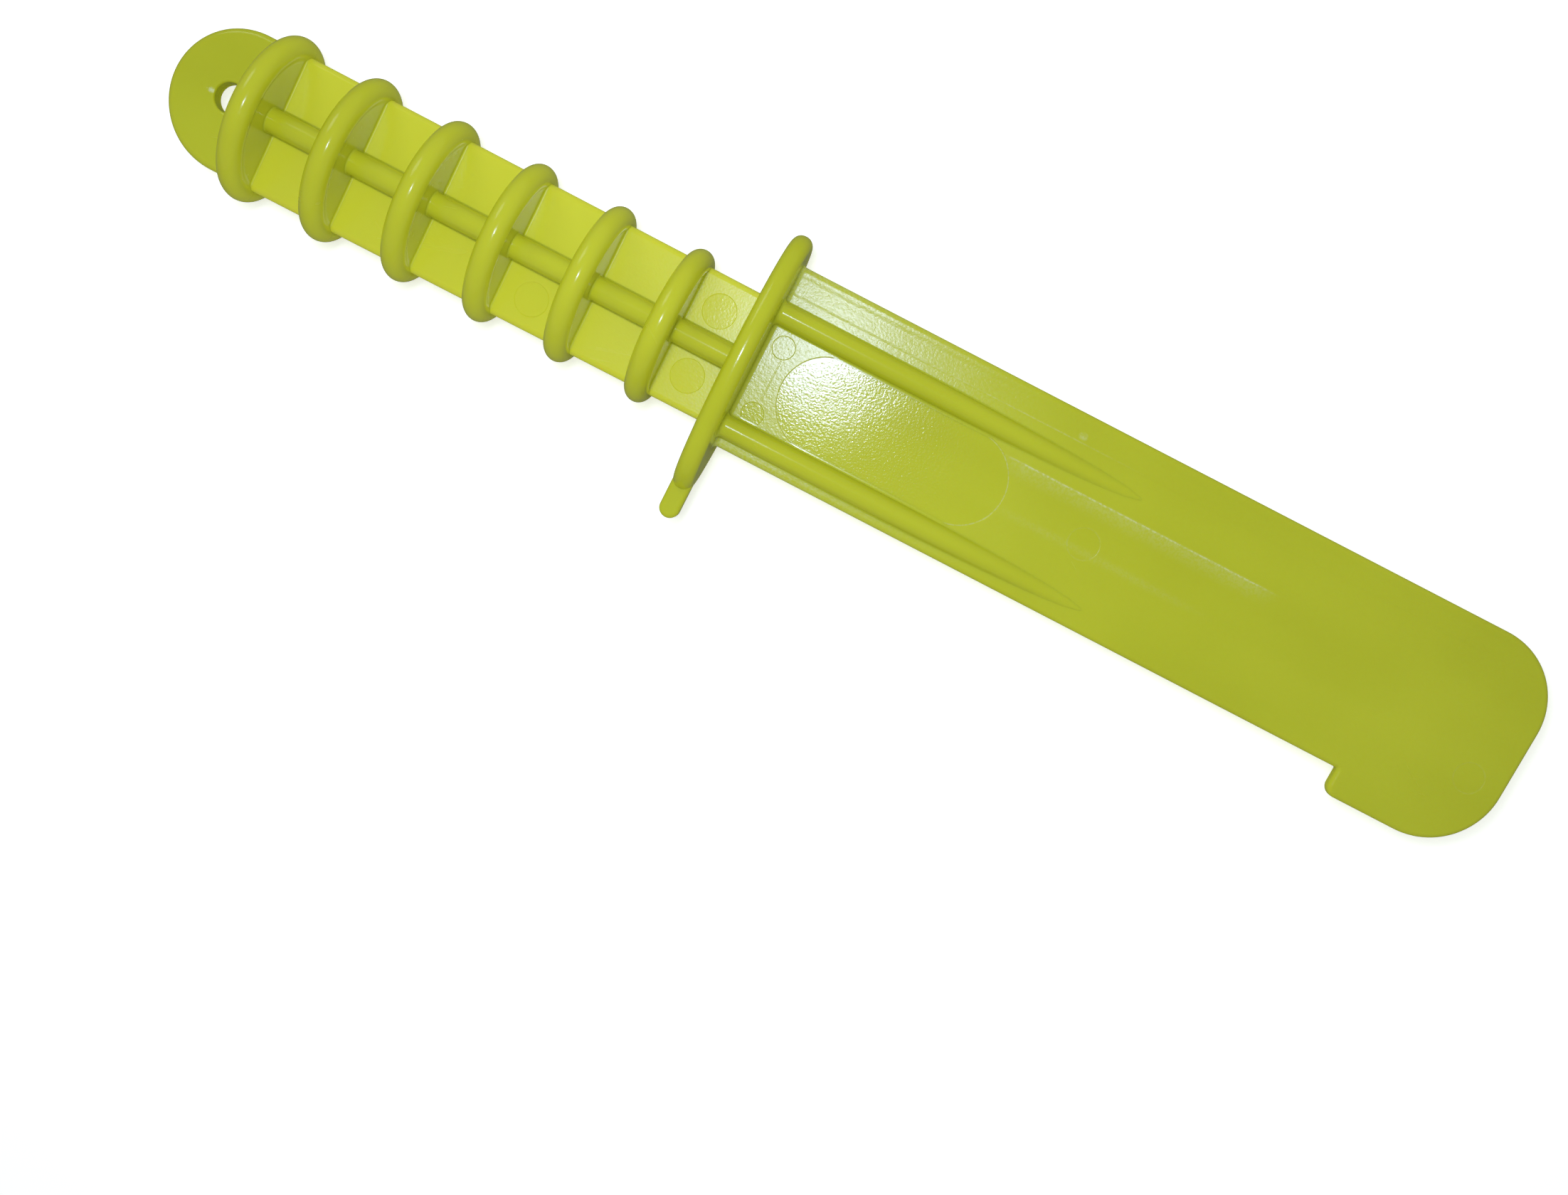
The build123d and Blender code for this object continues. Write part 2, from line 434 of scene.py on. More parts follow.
# %% The moulded plastic and its variants
def moulded_plastic(name, gloss=0.14, grain=0.006, light=0.0, polish=None, frost_and_glare=None, relief=None):
    """Yellow-green plastic. light mixes in painted bounce light as a lighter tone; the functions add
    local marks.
    """
    shop = Workshop(name)
    place, x, y, z = object_axes(shop)
    # The lighter tone mixed in here is painted bounce light.
    toned = {0: light, 6: lime_tone(shop, place), 7: LIME_PAINTED_BOUNCE}
    colour = shop.node("ShaderNodeMix", {"data_type": "RGBA"}, toned, output=2)
    hairs = scratches(shop, place)
    fine = noise(shop, place, SPECKLE_SCALE, 2.0)
    wave = noise(shop, place, 90.0, 1.0)
    seam = soft_line(z, 0.0, 0.08 * MM)
    rough = noise(shop, place, 40.0, 3.0) * 0.06 + hairs * 0.12 + gloss
    height = fine * (grain * MM) + wave * (0.05 * MM) + seam * (0.04 * MM)
    height = height - hairs * (0.004 * MM)
    if polish:
        rough = rough - polish(shop, x, y) * 0.07
    # The frost masks raise the roughness and paint a pale tone: real scuffs in some marks, painted
    # glare and painted highlights in others.
    if frost_and_glare:
        pale_mask = frost_and_glare(shop, place, x, y, z)
        rough = rough + pale_mask * 0.15
        mixed = {0: pale_mask, 6: colour, 7: FROST_AND_GLARE_TONE}
        colour = shop.node("ShaderNodeMix", {"data_type": "RGBA"}, mixed, output=2)
    if relief:
        height = height + relief(shop, x, y, z)
    bump = shop.node("ShaderNodeBump", {}, {"Strength": 1.0, "Distance": 1.0, "Height": height})
    surface = {"Base Color": colour, "Roughness": rough, "Normal": bump, "IOR": 1.5}
    surface["Subsurface Weight"] = 0.35
    surface["Subsurface Radius"] = (1.0, 0.7, 0.1)
    surface["Subsurface Scale"] = 1.2 * MM
    shader = shop.node("ShaderNodeBsdfPrincipled", {}, surface)
    shop.node("ShaderNodeOutputMaterial", {}, {"Surface": shader})
    return shop.material


PLASTIC = moulded_plastic("glossy_lime_plastic")
# The rings and spines mix in a little painted bounce light as a lighter tone.
RING_PLASTIC = moulded_plastic("ring_lime_plastic_painted_bounce", light=0.20)
print("material nodes:", len(PLASTIC.node_tree.nodes))


# %% [markdown]
# Every piece ends with the same steps. The CAD nodes that the piece stands for are hidden, its material
# goes into a slot, and it rides on the root body. A fillet's collar stands for no node, because it
# only adds to the pieces that it joins.

# %% Give a piece its finish and its place in the table
def dress(piece, nodes, material):
    """The last step for every piece: material, stand-in, slot and body."""
    favour_flat_faces(piece)
    piece.data.materials.append(material)
    if nodes:
        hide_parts(*nodes)
    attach(piece, "root")
    triangles = sum(len(p.vertices) - 2 for p in piece.data.polygons)
    print(f"{piece.name}: {triangles} triangles")


# %% [markdown]
# ## Marks of the mould
#
# Ejector pins push a moulding out of the mould and leave shallow round marks, and a changeable insert
# leaves its outline. Each mark here is a dent of a tenth of a millimetre with a sloping wall, which
# catches the light as a thin bright or dark line. A painted circle can't do that. The dent is cut with
# a Boolean modifier, whose cutter is an outline that is pushed up and outwards.

# %% Helpers for cuts
def cut(piece, bm):
    """Cuts a bmesh's solid out of a piece with a Boolean modifier, and applies it."""
    cutter_mesh = bpy.data.meshes.new("cutter")
    bm.to_mesh(cutter_mesh)
    bm.free()
    cutter = bpy.data.objects.new("cutter", cutter_mesh)
    bpy.context.scene.collection.objects.link(cutter)
    modifier = piece.modifiers.new("cut", "BOOLEAN")
    modifier.operation = "DIFFERENCE"
    modifier.solver = "EXACT"
    modifier.object = cutter
    graph = bpy.context.evaluated_depsgraph_get()
    finished = bpy.data.meshes.new_from_object(piece.evaluated_get(graph))
    piece.modifiers.clear()
    whole = piece.data
    piece.data = finished
    bpy.data.meshes.remove(whole)
    bpy.data.objects.remove(cutter)
    finished.shade_smooth()
    finished.set_sharp_from_angle(angle=SMOOTH_ANGLE)


def rectangle(low_x, low_y, high_x, high_y, z=0.0):
    """Four corners, counter-clockwise."""
    return [(low_x, low_y, z), (high_x, low_y, z), (high_x, high_y, z), (low_x, high_y, z)]


def dent(piece, centre, half_x, half_y, radius, face_z, depth=0.1 * MM, slope=0.16 * MM):
    """Presses a flat mark with rounded corners into a piece's front face."""
    cx, cy = centre
    floor = rectangle(cx - half_x, cy - half_y, cx + half_x, cy + half_y, face_z - depth)
    bm = bmesh.new()
    outline_face(bm, floor)
    round_corners(bm, floor, radius, 16)
    thicken(bm, (0, 0, depth * 0.01))
    push_face(bm, end_face(bm, (0, 0, 1)), 3 * depth, 3 * slope)
    cut(piece, bm)


# %% [markdown]
# ## The core of the handle
#
# The core is a flat plate with rounded long edges. It runs hidden through the rings, so its ends can
# stay square. The Bevel modifier could round it too, but bmesh lets us pick exactly the edges that run
# along the handle.

# %% The handle plate
def slab(outline, thickness, edge_radius, is_rim, rounded=()):
    """A flat slab whose rim edges are rounded where is_rim says so."""
    bm = bmesh.new()
    base = [(cx, cy, -thickness / 2) for cx, cy in outline]
    outline_face(bm, base)
    for place, radius in rounded:
        round_corners(bm, [base[place]], radius, 24)
    thicken(bm, (0, 0, thickness))
    flat = [e for e in bm.edges if abs(e.verts[0].co.z - e.verts[1].co.z) < TOUCH]
    bevel_edges(bm, [e for e in flat if is_rim(e)], edge_radius)
    return bm


def runs_along(edge):
    """True for an edge that follows the tool's length."""
    run = edge.verts[1].co - edge.verts[0].co
    return abs(run.x) > abs(run.y)


near, far = plate_low.x, GUARD_X
wide, narrow = plate_half_width(near), plate_half_width(far)
plate_outline = [(near, -wide), (far, -narrow), (far, narrow), (near, wide)]
handle_core = make_piece("handle_core", slab(plate_outline, 2 * PLATE_Z, PLATE_EDGE, runs_along))

# %% [markdown]
# Three ejector pins pushed on the plate's front face, two beside the guard and one between the fourth
# and fifth ring. Their marks are glossier than the plate, because a pin's end is polished.

# %% The marks on the handle plate
PIN_RADIUS = 3.0 * MM
TOWARDS_GUARD = 0.6 * MM
last_bay = (RING_X[5] + guard_low.x) / 2 + TOWARDS_GUARD
fourth_bay = (RING_X[3] + RING_X[4]) / 2
HANDLE_PINS = [(last_bay, 6.3 * MM), (last_bay, -6.3 * MM), (fourth_bay, -7.0 * MM)]
for pin in HANDLE_PINS:
    dent(handle_core, pin, PIN_RADIUS, PIN_RADIUS, PIN_RADIUS, PLATE_Z)


def handle_polish(shop, x, y):
    """The glossy spots under the ejector pins."""
    spots = [long_spot(shop, x, y, pin, 0.0, PIN_RADIUS, 0.05 * MM) for pin in HANDLE_PINS]
    return spots[0] + spots[1] + spots[2]


def handle_rough_glare_haze(shop, place, x, y, z):
    """Rougher skin beside the guard, whose pale tone is painted glare haze; the pins' ends are left
    out.
    """
    broken = speckle(shop, place)
    bare = 1 - handle_polish(shop, x, y)
    return climb(shop, x, 84 * MM, 100 * MM) * on_front(shop, z) * bare * broken * 0.09


# The plate mixes in much painted bounce light as a lighter tone, and its pale haze beside the guard is
# painted glare.
PLATE_PLASTIC = moulded_plastic(
    "satin_lime_plate_painted_light", gloss=0.20, grain=0.014, light=0.9,
    polish=handle_polish, frost_and_glare=handle_rough_glare_haze,
)
dress(handle_core, ["handle_plate"], PLATE_PLASTIC)

# %% [markdown]
# ## The lanyard tab
#
# The handle ends in a half-round tab with a hole for a cord. The outline is a rectangle whose two end
# corners are rounded by half the width, which makes the half circle. The hole's cutter is a spool: its
# middle is as wide as the hole, and its ends flare, so that the rim of the hole comes out rounded and
# kind to a cord.

# %% The tab and its hole
def hole_cutter(radius, half_thickness, rim):
    """A spool that cuts a hole with rounded rims."""
    bm = bmesh.new()
    start = Matrix.Translation((0, 0, rim - half_thickness))
    bmesh.ops.create_circle(bm, cap_ends=True, segments=64, radius=radius, matrix=start)
    thicken(bm, (0, 0, 2 * (half_thickness - rim)))
    for direction in ((0, 0, 1), (0, 0, -1)):
        curve_face(bm, end_face(bm, direction), rim, 1, turn=(0, 84))
        push_face(bm, end_face(bm, direction), 0.05 * MM, 0.2 * MM)
    return bm


def tab_rim(edge):
    """True for every rim edge except the square end inside the first ring."""
    return max(v.co.x for v in edge.verts) < tab_high.x - TOUCH or runs_along(edge)


half = tab_high.y
tab_outline = [corner[:2] for corner in rectangle(tab_low.x, -half, tab_high.x, half)]
tab_slab = slab(tab_outline, 2 * PLATE_Z, PLATE_EDGE, tab_rim, [(0, half), (3, half)])
handle_tab = make_piece("handle_tab", tab_slab)
HOLE_RADIUS = 2.7 * MM
HOLE_RIM = 0.45 * MM
cut(handle_tab, hole_cutter(HOLE_RADIUS, PLATE_Z, HOLE_RIM))

# %% [markdown]
# The runner that fed the mould was broken off beside the hole, and it left a small nick there: a dent
# whose edge carries a painted highlight, pale and speckled like sparkle.

# %% The nick beside the hole
NICK_HALF = 0.35 * MM
NICK_CORNER = 0.3 * MM
NICK_DEPTH = 0.08 * MM
nick_place = (-3.9 * MM, -0.2 * MM)
dent(handle_tab, nick_place, NICK_HALF, NICK_HALF, NICK_CORNER, PLATE_Z, NICK_DEPTH)


def tab_nick_highlight(shop, place, x, y, z):
    """The nick's edge, painted pale and speckled as a highlight's sparkle."""
    nick = long_spot(shop, x, y, (-3.4 * MM, -0.2 * MM), 0.1 * MM, 0.35 * MM, 0.3 * MM)
    return nick * speckle(shop, place, 0.35, 0.5) * on_front(shop, z)


TAB_PLASTIC = moulded_plastic("tab_lime_plastic_painted_highlight", frost_and_glare=tab_nick_highlight)
dress(handle_tab, ["lanyard_tab"], TAB_PLASTIC)

# %% [markdown]
# ## The finger rings
#
# Each ring is a disc across the handle: a flat web that ends in a round bead. Only its half profile is
# needed, and the spin operator turns that about the handle's axis, like clay on a wheel. A torus joined
# to a cylinder would leave a hard crease at the neck, where the real one is soft. So the profile itself
# is made of arcs, and each arc is a small spin of one vertex.

# %% Helpers that draw a profile
def line_by(bm, vertex, step):
    """Extrudes a vertex by a step and returns the new one."""
    grown = bmesh.ops.extrude_vert_indiv(bm, verts=[vertex])["verts"]
    bmesh.ops.translate(bm, verts=grown, vec=step)
    return grown[0]


def arc_about(bm, vertex, centre, degrees, steps, axis=(0, 0, 1)):
    """Spins a vertex about a centre and returns the arc's last vertex."""
    angle = math.radians(degrees)
    turned = bmesh.ops.spin(bm, geom=[vertex], cent=centre, axis=axis, angle=angle, steps=steps)
    return [item for item in turned["geom_last"] if isinstance(item, bmesh.types.BMVert)][0]


# %% [markdown]
# The neck is an arc that touches both the web's face and the bead. Its centre lies one neck radius off
# the web's face, and a bead radius plus a neck radius from the bead's centre. Pythagoras then gives how
# far it drops below the bead's centre.

# %% The ring's profile, spun
RING_STEPS = 144


def ring_solid(x, outer):
    """A web with its neck and bead, spun about the handle's axis."""
    bead_y = outer - BEAD_RADIUS
    neck_x = WEB_HALF + NECK_RADIUS
    drop = math.sqrt((BEAD_RADIUS + NECK_RADIUS) ** 2 - neck_x**2)
    lean = math.degrees(math.atan2(drop, neck_x))
    bm = bmesh.new()
    hub = bm.verts.new((x + WEB_HALF, 0, 0))
    point = line_by(bm, hub, (0, bead_y - drop, 0))
    point = arc_about(bm, point, (x + neck_x, bead_y - drop, 0), -lean, 4)
    point = arc_about(bm, point, (x, bead_y, 0), 180 + 2 * lean, 32)
    point = arc_about(bm, point, (x - neck_x, bead_y - drop, 0), -lean, 4)
    line_by(bm, point, (0, drop - bead_y, 0))
    profile = bm.verts[:] + bm.edges[:]
    bmesh.ops.spin(
        bm, geom=profile, cent=(0, 0, 0), axis=(1, 0, 0), angle=math.tau, steps=RING_STEPS,
        use_merge=True,
    )
    bmesh.ops.remove_doubles(bm, verts=bm.verts[:], dist=TOUCH)
    bmesh.ops.recalc_face_normals(bm, faces=bm.faces[:])
    return bm


for name, x, outer in zip(RING_NAMES, RING_X, RING_RADIUS):
    ring = make_piece(name.replace("grip_ring", "finger_ring"), ring_solid(x, outer))
    dress(ring, [name], RING_PLASTIC)

# %% [markdown]
# ## Where the core passes through a ring
#
# A sharp inside corner would crack, so a moulding has a fillet all round the core where it meets each
# ring. This collar has the core's own section. It flares on one side of the ring, runs through it, and
# shrinks back on the other side.

# %% Collars at the rings
def core_section(bm, x, low_y, high_y, half_z, corner_radius):
    """The core's rounded section, a hair smaller than the core."""
    low_y, high_y, half_z = low_y + SKIN_GAP, high_y - SKIN_GAP, half_z - SKIN_GAP
    corners = [(x, low_y, -half_z), (x, high_y, -half_z), (x, high_y, half_z), (x, low_y, half_z)]
    outline_face(bm, corners)
    round_corners(bm, corners, corner_radius)


def ring_collar(x):
    """A collar that flares on both sides of a ring's web."""
    outer_x = x + WEB_HALF + END_FILLET
    half_y = plate_half_width(outer_x)
    bm = bmesh.new()
    start = 2 * x - outer_x - FOOT_SKIRT
    core_section(bm, start, -half_y, half_y, PLATE_Z, PLATE_EDGE)
    thicken(bm, (FOOT_SKIRT, 0, 0))
    ahead = end_face(bm, (1, 0, 0))
    curve_face(bm, ahead, END_FILLET, 1)
    push_face(bm, ahead, 2 * WEB_HALF)
    curve_face(bm, ahead, END_FILLET, 1, turn=(90, 0))
    push_face(bm, ahead, FOOT_SKIRT)
    return bm


for number, x in enumerate(RING_X, start=1):
    collar = make_piece(f"ring_root_{number}", ring_collar(x))
    dress(collar, [], PLATE_PLASTIC)

# %% [markdown]
# ## The spines
#
# Between the rings a bar stands on each face of the core. Its section is a round top on two straight
# walls, with a small fillet at each foot, and both its ends flare onto the rings. The section is drawn
# with lines and arcs, as the ring's was. If the height is less than the round top needs, the walls are
# gone and only the cap of the circle looks out, which is how the blade's ribs run out later on.

# %% The section of a standing bar
ALONG = (1, 0, 0)


def bar_section(bm, x, centre_y, face_z, half, height, fillet=FOOT_FILLET):
    """Draws a bar's section on the front face, and returns its closed loop of edges."""
    before = set(bm.edges)
    ground = face_z - 2 * SKIN_GAP
    rod_z = ground + height - half
    sine = max(-1.0, (ground + fillet - rod_z) / (half + fillet))
    turn = 90.0
    foot = half + fillet
    if sine > 0:
        turn = math.degrees(math.acos(sine))
        foot = foot * math.sin(math.radians(turn))
    wall = max(rod_z - ground - fillet, TOUCH / 2)
    right = centre_y + foot
    left = centre_y - foot
    first = bm.verts.new((x, right + FOOT_SKIRT, ground - BURIED))
    point = line_by(bm, first, (0, 0, BURIED))
    point = line_by(bm, point, (0, -FOOT_SKIRT, 0))
    point = arc_about(bm, point, (x, right, ground + fillet), -turn, 4, ALONG)
    point = line_by(bm, point, (0, 0, wall))
    point = arc_about(bm, point, (x, centre_y, point.co.z - half * math.cos(math.radians(turn))),
                      2 * turn, 16, ALONG)
    point = line_by(bm, point, (0, 0, -wall))
    point = arc_about(bm, point, (x, left, ground + fillet), -turn, 4, ALONG)
    point = line_by(bm, point, (0, -FOOT_SKIRT, 0))
    point = line_by(bm, point, (0, 0, -BURIED))
    bm.edges.new((point, first))
    return [edge for edge in bm.edges if edge not in before]


def close_loop(bm, loop):
    """Fills a loop of edges with one face."""
    return bmesh.ops.contextual_create(bm, geom=loop)["faces"][0]


def settle(bm, side):
    """Merges doubles, mirrors a back-face bar (side -1) to its side, and turns all faces out."""
    bmesh.ops.remove_doubles(bm, verts=bm.verts[:], dist=TOUCH / 10)
    bmesh.ops.scale(bm, verts=bm.verts[:], vec=(1, 1, side))
    bmesh.ops.recalc_face_normals(bm, faces=bm.faces[:])


# %% [markdown]
# With the section in hand, a spine is that section pulled from one wall to the next.

# %% The spines between the rings
SPINE_HALF = 2.2 * MM


def spine_solid(wall_near, wall_far, side, height):
    """A spine that flares onto a wall at each end."""
    bm = bmesh.new()
    start = wall_near + END_FILLET
    close_loop(bm, bar_section(bm, start, 0.0, PLATE_Z, SPINE_HALF, height))
    thicken(bm, (wall_far - END_FILLET - start, 0, 0))
    settle(bm, side)
    for direction in ((1, 0, 0), (-1, 0, 0)):
        cap = end_face(bm, direction)
        curve_face(bm, cap, END_FILLET, 1)
        push_face(bm, cap, SKIN_GAP)
    return bm


walls_far = [x - WEB_HALF for x in RING_X[1:]] + [guard_low.x]
for face, side in (("front", 1), ("back", -1)):
    for number, (x, wall_far) in enumerate(zip(RING_X, walls_far), start=1):
        node = f"spine_{face}_{number}"
        crest = max(abs(corner.z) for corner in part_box(node))
        solid = spine_solid(x + WEB_HALF, wall_far, side, crest - PLATE_Z)
        dress(make_piece(f"grip_spine_{face}_{number}", solid), [node], RING_PLASTIC)

# %% [markdown]
# ## The cross guard
#
# The guard is an elliptical flange with a round rim. A circle operator makes an ellipse when its matrix
# scales it, and the two faces are then closed with the same quarter-circle move as before. The core and
# the blade meet it with fillets of their own.

# %% The guard
guard_half = (guard_high.x - guard_low.x) / 2
GUARD_RIM = 0.94 * guard_half


def guard_solid():
    """An ellipse across the tool, with a round rim on both faces."""
    flat = guard_half - GUARD_RIM
    bm = bmesh.new()
    stand = Matrix.Translation((GUARD_X - flat, 0, 0)) @ Matrix.Rotation(math.radians(90), 4, "Y")
    ellipse = Matrix.Diagonal((guard_high.z, guard_high.y, 1, 1))
    bmesh.ops.create_circle(
        bm, cap_ends=True, segments=160, radius=1.0, matrix=stand @ ellipse
    )
    thicken(bm, (2 * flat, 0, 0))
    for direction in ((1, 0, 0), (-1, 0, 0)):
        curve_face(bm, end_face(bm, direction), GUARD_RIM, -1, segments=10)
    return bm


dress(make_piece("hand_guard", guard_solid()), ["cross_guard"], PLASTIC)

# %% [markdown]
# The handle and the blade each grow out of the guard with a fillet. It is a collar again, as at the
# rings, but with one flare only, because the other side is inside the guard.

# %% The guard's fillets
def guard_collar(wall_x, side, low_y, high_y, half_z, corner_radius, fillet):
    """A collar that flares onto the guard from the handle (side 1) or the blade (side -1)."""
    bm = bmesh.new()
    start = wall_x - side * (fillet + FOOT_SKIRT)
    core_section(bm, start, low_y, high_y, half_z, corner_radius)
    thicken(bm, (side * FOOT_SKIRT, 0, 0))
    cap = end_face(bm, (side, 0, 0))
    curve_face(bm, cap, fillet, 1)
    push_face(bm, cap, SKIN_GAP)
    return bm


root_half = plate_half_width(guard_low.x)
root = guard_collar(
    guard_low.x, 1, -root_half, root_half, PLATE_Z, PLATE_EDGE, END_FILLET
)
dress(make_piece("guard_root_handle", root), [], PLATE_PLASTIC)

# %% [markdown]
# ## The measuring tongue
#
# At its lower end the guard carries a small tongue, one jaw of the gauge: a shellfish that spans from
# the tongue to the hook near the tip is big enough to keep. It is a short slab with a round end, and
# the guard's round rim overlaps it in a crescent.

# %% The tongue
def tongue_rim(edge):
    """True for every rim edge except the end buried in the guard."""
    return min(v.co.y for v in edge.verts) < tongue_high.y - TOUCH


buried_y = tongue_high.y
tongue_box = rectangle(tongue_low.x, tongue_low.y, tongue_high.x, buried_y)
tongue_outline = [corner[:2] for corner in tongue_box]
tongue_round = [(0, guard_half), (1, guard_half)]
TONGUE_EDGE = 0.8 * MM
tongue_slab = slab(tongue_outline, 2 * tongue_high.z, TONGUE_EDGE, tongue_rim, tongue_round)
dress(make_piece("gauge_tongue", tongue_slab), ["guard_tongue"], PLASTIC)

# %% [markdown]
# ## The blade
#
# The blade is one flat slab from the guard to the tip, with a notch that leaves a square hook near its
# end. The CAD model has the measuring part and the tip as two nodes. Here one piece stands for both,
# because light that sinks into the plastic stops where a piece ends, and a cut would show as a line.

# %% The whole blade
hidden_x = GUARD_X
blade_outline = [
    (hidden_x, blade_low.y),
    (HOOK_X, blade_low.y),
    (HOOK_X, tip_low.y),
    (tip_high.x, tip_low.y),
    (tip_high.x, tip_high.y),
    (hidden_x, tip_high.y),
]


def blade_rim(edge):
    """True for every rim edge except the end buried in the guard."""
    return max(v.co.x for v in edge.verts) > hidden_x + TOUCH


TIP_CORNER = 13.5 * MM
HOOK_CORNER = 2.0 * MM
NOTCH_FILLET = 0.4 * MM
blade_rounded = [(4, TIP_CORNER), (3, TIP_CORNER), (2, HOOK_CORNER), (1, NOTCH_FILLET)]
blade_slab = slab(blade_outline, 2 * BLADE_Z, BLADE_EDGE, blade_rim, blade_rounded)
blade = make_piece("measuring_blade", blade_slab)

# %% [markdown]
# The blade's front face is busy: a long oval where the mould had an insert, two small pins beside the
# guard with a thin line between them, and a larger pin further out.

# %% The marks on the blade
INSERT_CENTRE = (131.65 * MM, 0.0)
INSERT_HALF = (21.95 * MM, 8.6 * MM)
PIN_LINE_CENTRE = (107.7 * MM, -0.4 * MM)
PIN_LINE_HALF = (0.06 * MM, 3.9 * MM)
BLADE_PINS = [((107.1 * MM, 5.8 * MM), 2.0 * MM), ((107.4 * MM, -7.0 * MM), 2.0 * MM)]
FAR_PINS = [((169.9 * MM, -0.5 * MM), 2.9 * MM), ((249.6 * MM, -5.8 * MM), 2.8 * MM)]
dent(blade, INSERT_CENTRE, *INSERT_HALF, INSERT_HALF[1], BLADE_Z, 0.13 * MM, 0.2 * MM)
for centre, radius in BLADE_PINS:
    dent(blade, centre, radius, radius, radius, BLADE_Z)
for centre, radius in FAR_PINS:
    dent(blade, centre, radius, radius, radius, BLADE_Z, 0.06 * MM, 0.12 * MM)
dent(blade, PIN_LINE_CENTRE, *PIN_LINE_HALF, 0.05 * MM, BLADE_Z, 0.06 * MM, 0.1 * MM)

# %% [markdown]
# The blade's skin also has traces of wear and of cooling, and painted light. The plastic shrank over
# the ribs of the other face and left faint hollows, and a lip runs along the straight edge. Two scuff
# lines run out beyond the oval, and painted glare fades away beside the first. Beside the guard, both
# margins and the skin between the pins are rougher, and their pale tone is painted glare haze.
# Painted highlights trace the rims of the oval and the far pins, and a painted highlight streak runs
# along the step near the straight edge. There is also a small blemish. Each mark is a mask from 0 to
# 1, and the masks are added up with a weight each.

# %% The blade's finish
def blade_polish(shop, x, y):
    """The insert and the pins left glossier skin than the blade around them."""
    radius = INSERT_HALF[1]
    spots = long_spot(shop, x, y, INSERT_CENTRE, INSERT_HALF[0] - radius, radius, 0.08 * MM)
    for centre, pin_radius in BLADE_PINS[1:] + FAR_PINS:
        spots = spots + long_spot(shop, x, y, centre, 0.0, pin_radius, 0.05 * MM)
    return spots


def blade_rim_highlights(shop, x, y):
    """Thin painted highlights on the rims where the insert and the far pins left a step."""
    radius = INSERT_HALF[1]
    half = INSERT_HALF[0] - radius
    outer = long_spot(shop, x, y, INSERT_CENTRE, half, radius + 0.10 * MM, 0.06 * MM)
    inner = long_spot(shop, x, y, INSERT_CENTRE, half, radius - 0.10 * MM, 0.06 * MM)
    rims = (outer - inner) * 0.40
    for centre, pin_radius in FAR_PINS:
        outer = long_spot(shop, x, y, centre, 0.0, pin_radius + 0.12 * MM, 0.08 * MM)
        inner = long_spot(shop, x, y, centre, 0.0, pin_radius - 0.12 * MM, 0.08 * MM)
        rims = rims + (outer - inner) * 0.09
    return rims


def blade_scuffs_and_glare(shop, place, x, y, z):
    """Scuff lines and a blemish, with painted glare, painted highlights and a painted streak, all
    broken up by noise.
    """
    front = on_front(shop, z)
    broken = speckle(shop, place)
    # The fade beside the first scuff line is painted glare; the thin line itself is a scuff.
    fade = climb(shop, y, 3.6 * MM, 7.2 * MM) * (1 - climb(shop, y, 7.15 * MM, 7.3 * MM))
    crest = fade * 0.20 + soft_line(y, 7.1 * MM, 0.16 * MM) * 0.5
    first = crest * between(shop, x, 152 * MM, 202 * MM, 3 * MM)
    second = soft_line(y, -1.9 * MM, 0.7 * MM) * between(shop, x, 156 * MM, 190 * MM, 8 * MM)
    # Painted highlights on the rims of the oval and the far pins.
    rims = blade_rim_highlights(shop, x, y)
    # Beside the guard the margins and the skin between the pins are rougher, and their pale tone is
    # painted glare haze.
    strip = climb(shop, y.math("ABSOLUTE"), 12.6 * MM, 13.4 * MM)
    strip = strip * (1 - climb(shop, x, 104 * MM, 160 * MM))
    root = (1 - blade_polish(shop, x, y)) * (1 - climb(shop, x, 104 * MM, 124 * MM))
    # The streak is a painted highlight along the step near the straight edge.
    streak = soft_line(y, 15.0 * MM, 0.12 * MM) * between(shop, x, 112 * MM, 165 * MM, 12 * MM)
    spot = long_spot(shop, x, y, (160.9 * MM, 16.1 * MM), 0.2 * MM, 0.5 * MM, 0.4 * MM)
    marks = first + second * 0.10 + rims + strip * 0.22 + root * 0.09 + streak * 0.3 + spot * 0.4
    return marks * (broken * 0.7 + 0.3) * front


def blade_relief(shop, x, y, z):
    """A raised lip along the straight edge, and hollows over the ribs of the other face."""
    front = on_front(shop, z)
    lip = climb(shop, y, 17.6 * MM, 19.0 * MM) * (0.09 * MM)
    step = climb(shop, y, 14.5 * MM, 15.3 * MM) * (0.05 * MM)
    hollows = soft_line(y, 11 * MM, 2 * MM) + soft_line(y, -11 * MM, 2 * MM)
    past_ribs = climb(shop, x, 170 * MM, 185 * MM)
    return (lip + step - hollows * past_ribs * (0.03 * MM)) * front


BLADE_PLASTIC = moulded_plastic(
    "satin_lime_blade_painted_glare", gloss=0.17, grain=0.024,
    polish=blade_polish, frost_and_glare=blade_scuffs_and_glare, relief=blade_relief,
)
dress(blade, ["blade_panel", "blade_tip"], BLADE_PLASTIC)
blade_root = guard_collar(
    guard_high.x, -1, blade_low.y, blade_high.y, BLADE_Z, BLADE_EDGE, GUARD_FILLET
)
dress(make_piece("guard_root_blade", blade_root), [], BLADE_PLASTIC)

# %% [markdown]
# ## The blade's ribs
#
# Two ribs stiffen each face of the blade. Each is a round-topped bar that is high at the guard and
# sinks into the blade until it is gone, so that its outline narrows to a point at the end. Scaling the
# end of a bar would keep its straight walls to the last millimetre. Instead the section is drawn anew
# at stations along the rib, each lower than the one before, and the stations are bridged.

# %% The ribs
RIB_HALF = 2.05 * MM
RIB_STATIONS = 24
RIB_OVERRUN = 1.5 * MM
RIB_LAST_HEIGHT = 0.01 * MM


